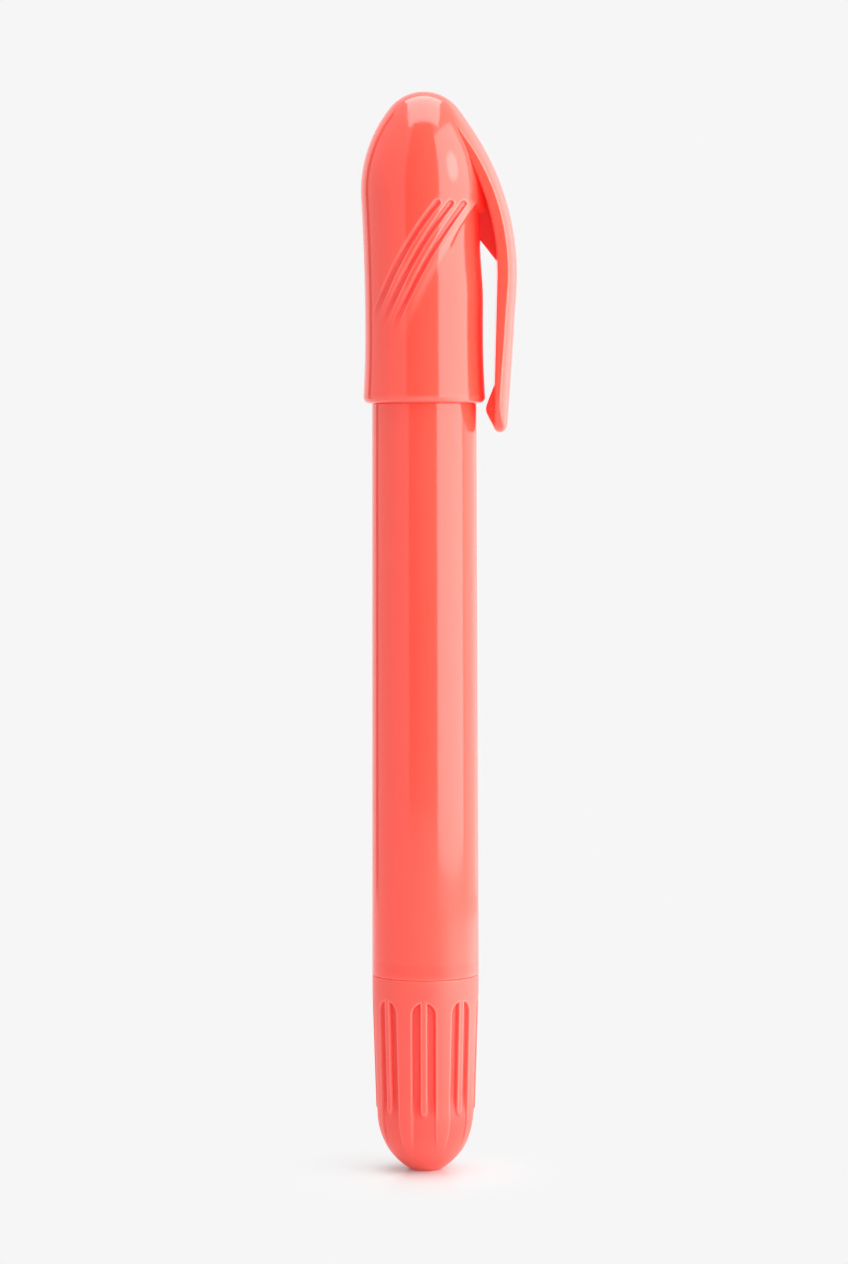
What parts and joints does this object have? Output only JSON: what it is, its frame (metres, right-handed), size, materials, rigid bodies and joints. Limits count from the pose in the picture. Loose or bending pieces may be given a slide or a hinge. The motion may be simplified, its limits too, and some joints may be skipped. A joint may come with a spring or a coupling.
{
  "type": "gel highlighter",
  "caption": "Twist-up gel highlighter with a fluted end knob, a screw-driven gel stick and a pull-off cap with a moulded pocket clip.",
  "frame": {"origin": "middle of the flat foot under the knob", "axes": "+Z along the pen's axis towards the crown of the cap, +X towards the clip"},
  "size_m": [0.0202, 0.0162, 0.1402],
  "materials": {
    "coral_gloss": "gloss, slightly translucent fluorescent coral",
    "coral_satin": "satin fluorescent coral",
    "white_liner": "satin milky white",
    "white_mechanism": "satin milky white",
    "gel": "waxy translucent gel",
    "ring_rubber": "matte silicone"
  },
  "bodies": {
    "barrel": {"barrel": "coral_gloss", "guide_sleeve": "white_mechanism"},
    "knob": {"turn_knob": "coral_satin", "lead_screw": "white_mechanism", "drag_ring": "ring_rubber"},
    "gel": {"gel_carrier": "white_mechanism", "gel_stick": "gel"},
    "cap": {"cap": "coral_gloss", "inner_cap": "white_liner"}
  },
  "joints": [
    {"name": "knob_twist", "type": "hinge", "parent": "barrel", "child": "knob", "pos_m": [0, 0, 0.0256], "axis": [0, 0, 1], "range_deg": [0, 1440]},
    {"name": "gel_slide", "type": "slide", "parent": "barrel", "child": "gel", "axis": [0, 0, 1], "range_m": [0, 0.024]},
    {"name": "cap_pull", "type": "slide", "parent": "barrel", "child": "cap", "axis": [0, 0, 1], "range_m": [0, 0.045]}
  ],
  "couplings": [
    {"joint": "gel_slide", "follows": "knob_twist", "m_per_rad": 0.00095492}
  ]
}
